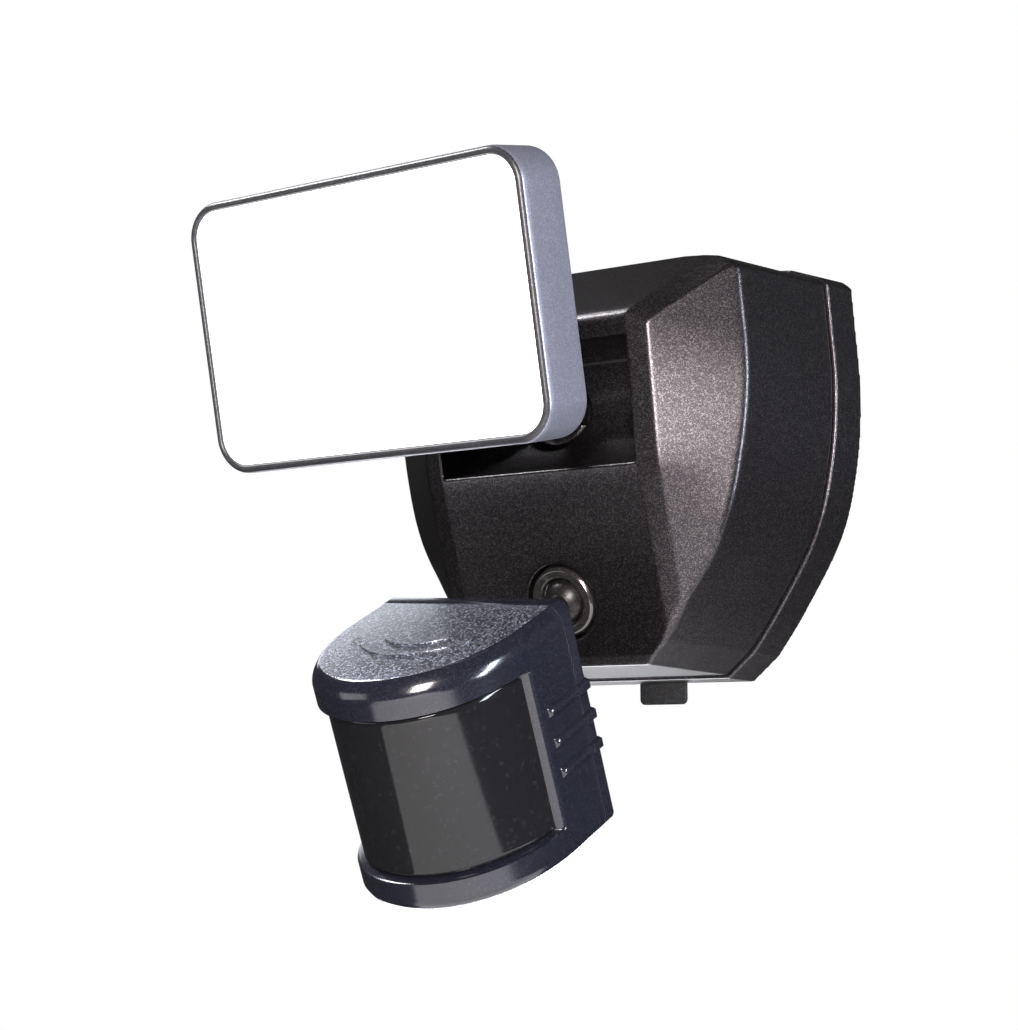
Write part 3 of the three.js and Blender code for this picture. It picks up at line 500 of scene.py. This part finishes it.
def edge_half(z):
    """Half the width at height z where the slanted faces meet the sides."""
    if z < EDGE_SIDE[0][1]:
        return EDGE_SIDE[0][0]
    if z > EDGE_SIDE[-1][1]:
        (x, low) = EDGE_SIDE[-1]
        return x + (EDGE_TOP[0] - x) * (z - low) / (EDGE_TOP[1] - low)
    i = next(k for k, p in enumerate(EDGE_SIDE) if p[1] >= z)
    if i == 0:
        return EDGE_SIDE[0][0]
    t = (i - 1 + (z - EDGE_SIDE[i - 1][1]) / (EDGE_SIDE[i][1] - EDGE_SIDE[i - 1][1])) / (len(EDGE_SIDE) - 1)
    return spline([(b, a) for a, b in EDGE_SIDE], t)[1]


FACE_STEPS = 14
WELL_OUTSIDE, WELL_BEHIND = 112, 20


def front_section(z, sunk):
    """The front's plan at height z, sunk in from the outer surface by a wall's thickness."""
    level = z + sunk
    fan = max(0, (level - FAN_START) / (EDGE_TOP[1] - FAN_START))
    spine_half = SPINE_HALF + (EDGE_TOP[0] - SPINE_HALF) * fan
    start = spine_y(FAN_START, 0)
    spine_front = start + (EDGE_Y - start) * fan if fan > 0 else spine_y(level, 0)
    rise = max(0, (level - NOSE[1]) / (RIDGE[1] - NOSE[1]))
    panel_half = PANEL_HALF + (RIDGE_HALF - PANEL_HALF) * rise
    if level < -25 or fan > 0.6:
        slant = 0.7 if level < 0 else 0.94
    else:
        slant = (EDGE_Y - spine_front) / (edge_half(level) - spine_half)
    across = np.linspace(WELL_OUTSIDE, spine_half, FACE_STEPS)
    chamfer = [(x, spine_front + slant * (x - spine_half)) for x in across]
    right = [(WELL_OUTSIDE, WELL_BEHIND), *chamfer, (panel_half, spine_y(level, PANEL_RISE))]
    loop = right + [(-x, y) for x, y in right[::-1]]
    return [(x, y if y == WELL_BEHIND else y + sunk * 1.15, z) for x, y in loop]


LEVELS = [-70, -60, -56.9, *np.linspace(-54, 3, 30), 4.9, *np.linspace(7, 91, 57)]


def front_body(sunk):
    return raw_object("front", loft([front_section(z - sunk, sunk) for z in LEVELS]))


def scoop(grow):
    """The round trough behind the lamp's arm, open to the front."""
    across = move(0, SCOOP_Y, SCOOP_Z) @ turn("Y", PI / 2)
    half = SCOOP_HALF + grow
    trough = rod(SCOOP_R + grow, -half, half, across, 96)
    high = 2 * (SCOOP_R + grow)
    mouth = block(2 * half, 37, high - 0.2, 0, SCOOP_Y - 18.5 - 2, SCOOP_Z)
    return combine(trough, "UNION", [mouth])


def edge_depth(z):
    """How far forward the slanted face meets the side."""
    section = front_section(z, 0)
    (x1, y1), (x0, y0) = section[1][:2], section[FACE_STEPS][:2]
    return y0 + (y1 - y0) * (edge_half(z) - x0) / (x1 - x0)


EASE_REACH, EASE_ROUNDS = 5, 70


def ease_edges(cover):
    """The long edges between the slanted faces and the sides are rounder than the rest."""
    heights = np.linspace(-64, 70, 135)
    halves = [edge_half(z) for z in heights]
    depths = [edge_depth(z) for z in heights]
    spots = np.empty(len(cover.data.vertices) * 3)
    cover.data.vertices.foreach_get("co", spots)
    spots = spots.reshape(-1, 3) / MM
    off = np.hypot(np.abs(spots[:, 0]) - np.interp(spots[:, 2], heights, halves),
                   spots[:, 1] - np.interp(spots[:, 2], heights, depths))
    weight = np.clip(1.5 - off / EASE_REACH, 0, 1)
    group = cover.vertex_groups.new(name="edges")
    for i in np.nonzero(weight)[0]:
        group.add([int(i)], float(weight[i]), "REPLACE")
    smooth = cover.modifiers.new("ease", "SMOOTH")
    smooth.factor = 0.5
    smooth.iterations = EASE_ROUNDS
    smooth.vertex_group = "edges"
    return applied(cover)


def through(x, z):
    """A frame whose Z runs front to back through (x, z)."""
    return move(x, 0, z) @ turn("X", PI / 2)


def housing_cover():
    cover = drafted(-BASE_DEPTH - 0.3, PAST_FRONT, BASE_STEP, 0.6)
    combine(cover, "INTERSECT", [front_body(0)])
    cavity = drafted(-1, PAST_FRONT, SHELL + BASE_STEP, SHELL + 1)
    combine(cavity, "INTERSECT", [front_body(SHELL)])
    combine(cavity, "DIFFERENCE", [scoop(SHELL)])
    combine(cover, "DIFFERENCE", [cavity, scoop(0)])
    seats = [rod(16, 0.6, 4.4, m, 64) for m in (LAMP_SOCKET, SENSOR_SOCKET)]
    combine(cover, "UNION", seats)
    holes = [rod(SOCKET_HOLE_R, -20, 30, m, 96) for m in (LAMP_SOCKET, SENSOR_SOCKET)]
    combine(cover, "DIFFERENCE", holes)
    soften(cover, 14)
    ease_edges(cover)
    cover.name = "housing_cover"
    return finish_piece(cover, "housing", "bronze_paint", ["front_cover"], 60)


housing_cover()


def housing_base():
    base = drafted(0, -BASE_DEPTH, 0)
    plate_seat, tab_slot = block(94, 3, 102, 0, 0, 0), block(21.6, 3, 60, 0, 0, -60)
    wire_hole = rod(13, -20, 20, through(0, 28), 64)
    cuts = [drafted(-5, -30, SHELL), plate_seat, tab_slot, wire_hole]
    groove = drafted(0.5, -2.3, 2.2)
    combine(groove, "DIFFERENCE", [drafted(5.5, -7.3, 5.4)])
    combine(base, "DIFFERENCE", [*cuts, groove])
    holes = [rod(3.6, -1, 3.2, through(x, z)) for x, z in SCREW_POSTS]
    holes += [rod(1.9, -1, 20, through(x, z)) for x, z in SCREW_POSTS]
    combine(base, "DIFFERENCE", holes)
    soften(base, 8)
    base.name = "housing_base"
    return finish_piece(base, "housing", "bronze_paint", ["rear_base"], 60)


housing_base()


# ------------------------------------------------------------------ collars and stems

COLLAR = rounded_profile([
    (8.2, 3.2), (8.2, 4.6), (9.1, 5.5), (11.3, 5.5), (12.4, 4.5), (12.4, 0.9), (13.2, 0.6), (13.2, -0.6),
    (10.4, -0.6), (10.4, 0.2)], 0.35, closed=True)
ring = lathe("sensor_collar_shown", COLLAR, SENSOR_SOCKET, 96, ring=True)
finish_piece(ring, "housing", "bronze_paint", ["sensor_collar"])
ring.data.materials[0] = look("bronze_gloss")


BALL_R, NECK_R, STEM_R = 8.6, 4.3, 6.2


def ball_profile(rest):
    """The profile of a ball with a flat end, then the stem that leaves it."""
    arc = np.linspace(-1.22, PI / 2 - math.asin(NECK_R / BALL_R), 24)
    return [(0, -BALL_R * 0.94)] + [(BALL_R * math.cos(a), BALL_R * math.sin(a)) for a in arc] + rest


KNUCKLE_START = ARM_LENGTH - 30
lamp_stem = ball_profile(rounded_profile([
    (NECK_R, 7.6), (NECK_R, 12), (STEM_R, 16), (STEM_R, KNUCKLE_START - 8.2), (4.6, KNUCKLE_START - 8),
    (4.6, KNUCKLE_START + 5), (0, KNUCKLE_START + 5)], 0.6))
# The stems' paint is darkened as painted shade for the shadowed recess.
finish_piece(lathe("lamp_stem", lamp_stem, ARM), "lamp_arm", "arm_paint", ["lamp_ball_stem"])
HEAD_START = 49.5
sensor_stem = ball_profile(rounded_profile([
    (NECK_R, 7.6), (NECK_R, 11), (STEM_R, 14), (STEM_R, HEAD_START - 6.4), (NECK_R, HEAD_START - 6.2),
    (NECK_R, HEAD_START + 7), (0, HEAD_START + 7)], 0.6))
finish_piece(lathe("sensor_stem", sensor_stem, SENSOR_ARM), "sensor_arm", "arm_paint", ["sensor_ball_stem"])
for node in ("lamp_lock_nut", "sensor_lock_nut", "knuckle_nut", "knuckle_screw"):
    refined(node, 0.25)
refined("lamp_knuckle", 0.5, segments=3)
refined("lamp_collar", 0.25)
refined("mounting_plate", 0.2)


# ------------------------------------------------------------------ lamp head

LAMP_W, LAMP_H, LAMP_R = 134.4, 88.6, 12.2


def lamp_loop(d, y, steps=14):
    """The lamp's rounded outline moved inwards by d, at depth y."""
    w, h, r = LAMP_W - 2 * d, LAMP_H - 2 * d, max(LAMP_R - d, 1)
    loop = []
    for k, (sx, sz) in enumerate([(1, 1), (-1, 1), (-1, -1), (1, -1)]):
        for i in range(steps + 1):
            a = (k + i / steps) * PI / 2
            loop.append((sx * (w / 2 - r) + r * math.cos(a), y, sz * (h / 2 - r) + r * math.sin(a)))
    return loop


# Profiles of (inset from the outline, depth behind the front).
FRAME_PROFILE = rounded_profile([
    (2.7, 0.5), (2, 0), (1, 0.3), (0.25, 1.3), (0, 3), (0, 20), (0.8, 21), (3.4, 21), (3.4, 4.2), (4.3, 3.6),
    (4.3, 2.2), (2.7, 2.2)], 0.5, closed=True)
shape = loft([lamp_loop(d, y) for d, y in FRAME_PROFILE], ring=True)
bezel = raw_object("lamp_bezel", shape, LAMP)
finish_piece(bezel, "lamp_head", "graphite_paint", ["lamp_frame"], 40)
# The bezel's front ring takes the darker copy of its paint, as painted shade against the front light.
bezel.data.materials.append(look("rim_painted_shade"))
INTO_LAMP, RIM_DEPTH = np.linalg.inv(LAMP), 1.2
for face in bezel.data.polygons:
    if placed([np.array(face.center) / MM], INTO_LAMP)[0][1] < RIM_DEPTH:
        face.material_index = 1
DIFFUSER_PROFILE = [(3.4, 0.85), (3.05, 1.0), (3.0, 1.3), (3.0, 2.2)]
shape = loft([lamp_loop(d, y) for d, y in DIFFUSER_PROFILE])
finish_piece(raw_object("lamp_lens", shape, LAMP), "lamp_head", "diffuser_white", ["lamp_diffuser"], 40)
refined("lamp_rear_cover", 0.6, segments=3)


# ------------------------------------------------------------------ sensor head

# Width, length of the straight sides, depth and height. CAP and FOOT are the window's top and bottom.
SW, STRAIGHT, DEEP, SH = 73.4, 22.6, 69.5, 77
CAP, FOOT, RECESS, WINDOW_FRONT = 12.9, 66.9, 2.5, -29.7
BACK_COVER = 6
FRONT_POWER = 0.94


def sensor_loop(d, z, back, pull, steps=96):
    """The D-shaped plan at height z. pull gives a further inset for a point's y."""
    half = SW / 2 - d
    loop = [(half, back, z)]
    for y in np.linspace(back, -STRAIGHT, 10)[1:-1]:
        loop.append((half, y, z))
    for i in range(steps + 1):
        a = PI * i / steps
        c, s = math.cos(a), max(math.sin(a), 0)
        further = pull(-STRAIGHT - (DEEP - STRAIGHT) * s ** FRONT_POWER)
        wide, deep = half - further, DEEP - d - further - STRAIGHT
        x, y = wide * math.copysign(abs(c) ** FRONT_POWER, c), -STRAIGHT - deep * s ** FRONT_POWER
        loop.append((x, y, z))
    for y in np.linspace(-STRAIGHT, back, 10)[1:-1]:
        loop.append((-half, y, z))
    return loop + [(-half, back, z)]


def ramp(x, a, b):
    """A smooth step from 0 at a to 1 at b."""
    t = min(1, max(0, (x - a) / (b - a)))
    return t * t * (3 - 2 * t)


SEAT = RECESS + 2.1
TOP_EDGE = rounded_profile([(9, 0), (3.8, 0), (2.7, -0.8), (0.7, -3.4), (0, -5.4), (0, -12)], 1.0)


def body_loop(z):
    """The front body's outline at height z, with the seat for the window cut into its front."""
    if z > -5.4:
        d = float(np.interp(-z, [-p[1] for p in TOP_EDGE], [p[0] for p in TOP_EDGE]))
    elif z < -SH + 2.4:
        d = float(np.interp(-z, [SH - 2.4, SH - 0.8, SH], [0, 0.8, 2]))
    else:
        d = 0.0
    deep = SEAT * ramp(-z, CAP - 0.7, CAP + 0.5) * (1 - ramp(-z, FOOT - 0.5, FOOT + 0.7))

    def pull(y):
        return deep * (1 - ramp(y, WINDOW_FRONT - 0.5, WINDOW_FRONT + 0.5))

    return sensor_loop(d, z, -BACK_COVER - 0.3, pull)


# The sections lie closer together at the top edge, at the window's two edges and at the bottom edge.
levels = [0, -0.15, -0.4, -0.8, -1.3, -1.9, -2.6, -3.4, -4.2, -5.0, -5.8, -7, -9, -11, -12.2]
levels += [-12.2 - 0.15 * i for i in range(1, 10)]
levels += list(np.linspace(-14, -66, 40))
levels += [-66.4 - 0.15 * i for i in range(1, 10)]
levels += [-68.5, -71, -73.6, -74.6, -75.2, -75.8, -76.2, -76.6, -76.9, -77]
body = raw_object("sensor_shell", loft([body_loop(z) for z in levels]), SENSOR)
KNOBS = {"time_knob": (-15, -24), "range_knob": (15, -24)}
combine(body, "DIFFERENCE", [rod(2.3, -90, -67, SENSOR @ move(x, y, 0)) for x, y in KNOBS.values()])
finish_piece(body, "sensor_head", "gloss_black", ["sensor_front_body"], 50)
body.data.materials.append(look("grained_black"))
top = Vector(SENSOR[:3, 2])
roof = max(corner.co.dot(top) for corner in body.data.vertices)
for face in body.data.polygons:
    if face.normal.dot(top) > 0.97 and face.center.dot(top) > roof - 0.9 * MM:
        face.material_index = 1


def window_loop(d, z):
    """A closed strip: the outer face and the inner face 1.8 mm behind it, in front of the groove."""
    outer, inner = [], []
    for i in range(97):
        a = 0.14 + (PI - 0.28) * i / 96
        c, s = math.cos(a), math.sin(a)
        for row, e in ((outer, RECESS + d), (inner, RECESS + 1.8)):
            half, deep = SW / 2 - e, DEEP - e - STRAIGHT
            x, y = half * math.copysign(abs(c) ** FRONT_POWER, c), -STRAIGHT - deep * s ** FRONT_POWER
            row.append((x, y, z))
    return outer + inner[::-1]


edge = [(0.9, 0.0), (0.5, 0.08), (0.2, 0.3), (0, 0.7)]
high, low = -CAP - 0.45, -FOOT + 0.45
stations = [(d, high - e) for d, e in edge] + [(0, z) for z in np.linspace(high - 2, low + 2, 24)]
stations += [(d, low + e) for d, e in edge[::-1]]
window = raw_object("sensor_visor", loft([window_loop(d, z) for d, z in stations]), SENSOR)
finish_piece(window, "sensor_head", "smoked_window", ["sensor_window"], 50)

GRIP_RISE, GRIP_HALF, GRIP_NOSE, GRIP_SUNK = 1.45, 2.0, -21.0, 0.9


def sensor_ribs():
    """Three raised grips on each side, rounded at the front end."""
    angles = np.linspace(0, 2 * PI, 24, endpoint=False)
    for side, label in ((-1, "left"), (1, "right")):
        for number, z in enumerate((-29, -39.3, -49.6), 1):
            loops = []
            for y in (-24.0, -23.8, -23.3, -22.4, -21.2, -16, -11, -6.3):
                rise = GRIP_RISE * math.sqrt(max(0.0, 1 - ((GRIP_NOSE - min(y, GRIP_NOSE)) / 3.0) ** 2))
                out = SW / 2 - GRIP_SUNK + (rise + GRIP_SUNK) * np.clip(np.cos(angles), -0.4, 1)
                loops.append([(side * x, y, z + GRIP_HALF * math.sin(a)) for x, a in zip(out, angles)])
            rib = raw_object(f"sensor_grip_{label}_{number}", loft(loops), SENSOR)
            finish_piece(rib, "sensor_head", "gloss_black", sharp=50)


sensor_ribs()
refined("sensor_back_cover", 0.4, segments=3)
refined("sensor_bottom_plate", 0.3, segments=3)
for node in KNOBS:
    refined(node, 0.25)


MARK_HEIGHT = 0.6
MARK_CENTRE = (0, -24)


def raised(name, plan):
    """A flat raised shape on the sensor's top, eased at its upper edge."""
    centre = np.mean(plan, 0)
    loops = []
    for shrink, z in ((1.0, -0.2), (1.0, MARK_HEIGHT - 0.15), (0.985, MARK_HEIGHT)):
        loops.append([(*(centre + (np.array(p) - centre) * shrink), z) for p in plan])
    mark = finish_piece(raw_object(name, loft(loops), SENSOR), "sensor_head", "gloss_black", sharp=50)
    mark.data.materials[0] = look("grained_black")


def arc_band(radius, width, start, end):
    """The plan of a band along an arc, with angles in degrees."""
    (u, v), angles = MARK_CENTRE, np.radians(np.linspace(start, end, 40))
    rows = [[(u + r * math.cos(a), v + r * math.sin(a)) for a in angles] for r in (radius, radius - width)]
    return rows[0] + rows[1][::-1]


def sensor_mark():
    """Plain raised arcs and a pair of arrow heads, for a wide field of detection."""
    raised("mark_arc_outer", arc_band(24, 1.4, 222, 318))
    raised("mark_arc_inner", arc_band(16, 1.4, 214, 326))
    for side, name in ((-1, "mark_arrow_left"), (1, "mark_arrow_right")):
        base = np.array([side * 19.5, -38.5])
        along_arc = np.array([side * 0.62, 0.78])
        across = np.array([along_arc[1], -along_arc[0]])
        raised(name, [base - 2.6 * across, base + 2.6 * across, base + 4.6 * along_arc])


sensor_mark()


# ------------------------------------------------------------------ floor, light and camera

def flat_paint(name, color, rough):
    material = bpy.data.materials.new(name)
    material.use_nodes = True
    shader = material.node_tree.nodes["Principled BSDF"]
    set_all(shader, Base_Color=(*color, 1), Roughness=rough, Specular_IOR_Level=0.0)
    return material


FLOOR_Z = -0.62
FLOOR_CORNERS = [(-0.3, -1.1), (0.9, -1.1), (0.9, 0.5), (-0.3, 0.5)]
floor_mesh = bpy.data.meshes.new("floor")
floor_mesh.from_pydata([(x, y, FLOOR_Z) for x, y in FLOOR_CORNERS], [], [(0, 1, 2, 3)])
floor = bpy.data.objects.new("floor", floor_mesh)
bpy.context.collection.objects.link(floor)
floor.data.materials.append(flat_paint("floor", (0.97, 0.97, 0.97), 0.9))


CENTRE = (0, -0.08, 0)


def softbox(name, place, size, power, color=(1, 1, 1)):
    """A rectangular light aimed at the middle of the part."""
    data = bpy.data.lights.new(name, "AREA")
    data.shape = "RECTANGLE"
    data.size, data.size_y = size
    data.energy = power
    data.color = color
    light = bpy.data.objects.new(name, data)
    light.location = place
    light.visible_camera = False
    aim = Vector(CENTRE) - Vector(place)
    light.rotation_euler = aim.to_track_quat("-Z", "Y").to_euler()
    bpy.context.collection.objects.link(light)


softbox("front", (1.0, -1.65, 0.22), (0.5, 0.9), 182, (1, 0.93, 0.89))
softbox("behind", (-1.15, 0.75, 0.6), (0.6, 0.6), 4, (0.9, 0.94, 1))
softbox("above", (-0.95, -0.4, 1.25), (0.5, 0.5), 48)
softbox("right", (1.2, 1.25, 0.45), (0.7, 1.1), 0.3, (0.84, 0.9, 1))
softbox("edge", (1.7, 0.1, 0.1), (0.2, 1.1), 75, (0.84, 0.9, 1))
softbox("under", (-0.5, 0.5, -0.5), (0.4, 0.2), 4, (0.95, 0.96, 1))
softbox("low", (-0.62, -0.9, -0.12), (0.5, 0.4), 3)

# The camera sees a white background. Shiny surfaces reflect a much darker one.
SEEN, REFLECTED = 1.0, 0.045
world = bpy.data.worlds.new("studio")
bpy.context.scene.world = world
world.use_nodes = True
tree = world.node_tree
path = tree.nodes.new("ShaderNodeLightPath")
backdrop = tree.nodes["Background"]
socket(backdrop, "Color", (1, 1, 1, 1))
strength = tree.nodes.new("ShaderNodeMapRange")
set_all(strength, To_Min=SEEN, To_Max=REFLECTED)
tree.links.new(path.outputs["Is Glossy Ray"], strength.inputs["Value"])
tree.links.new(strength.outputs["Result"], backdrop.inputs["Strength"])

scene = bpy.context.scene
scene.view_settings.view_transform = "Standard"
lens = bpy.data.cameras.new("camera")
lens.lens = 76.9
lens.sensor_width = 36
camera = bpy.data.objects.new("camera", lens)
CAMERA_PLACE = (0.4193, -0.6981, -0.0896)
right, up, forward = (0.8188, 0.5741, -0.0056), (0.066, -0.0846, 0.9942), (-0.5703, 0.8144, 0.1071)
axes = Matrix((right, up, tuple(-c for c in forward))).transposed().to_4x4()
camera.matrix_world = Matrix.Translation(CAMERA_PLACE) @ axes
bpy.context.collection.objects.link(camera)
scene.camera = camera
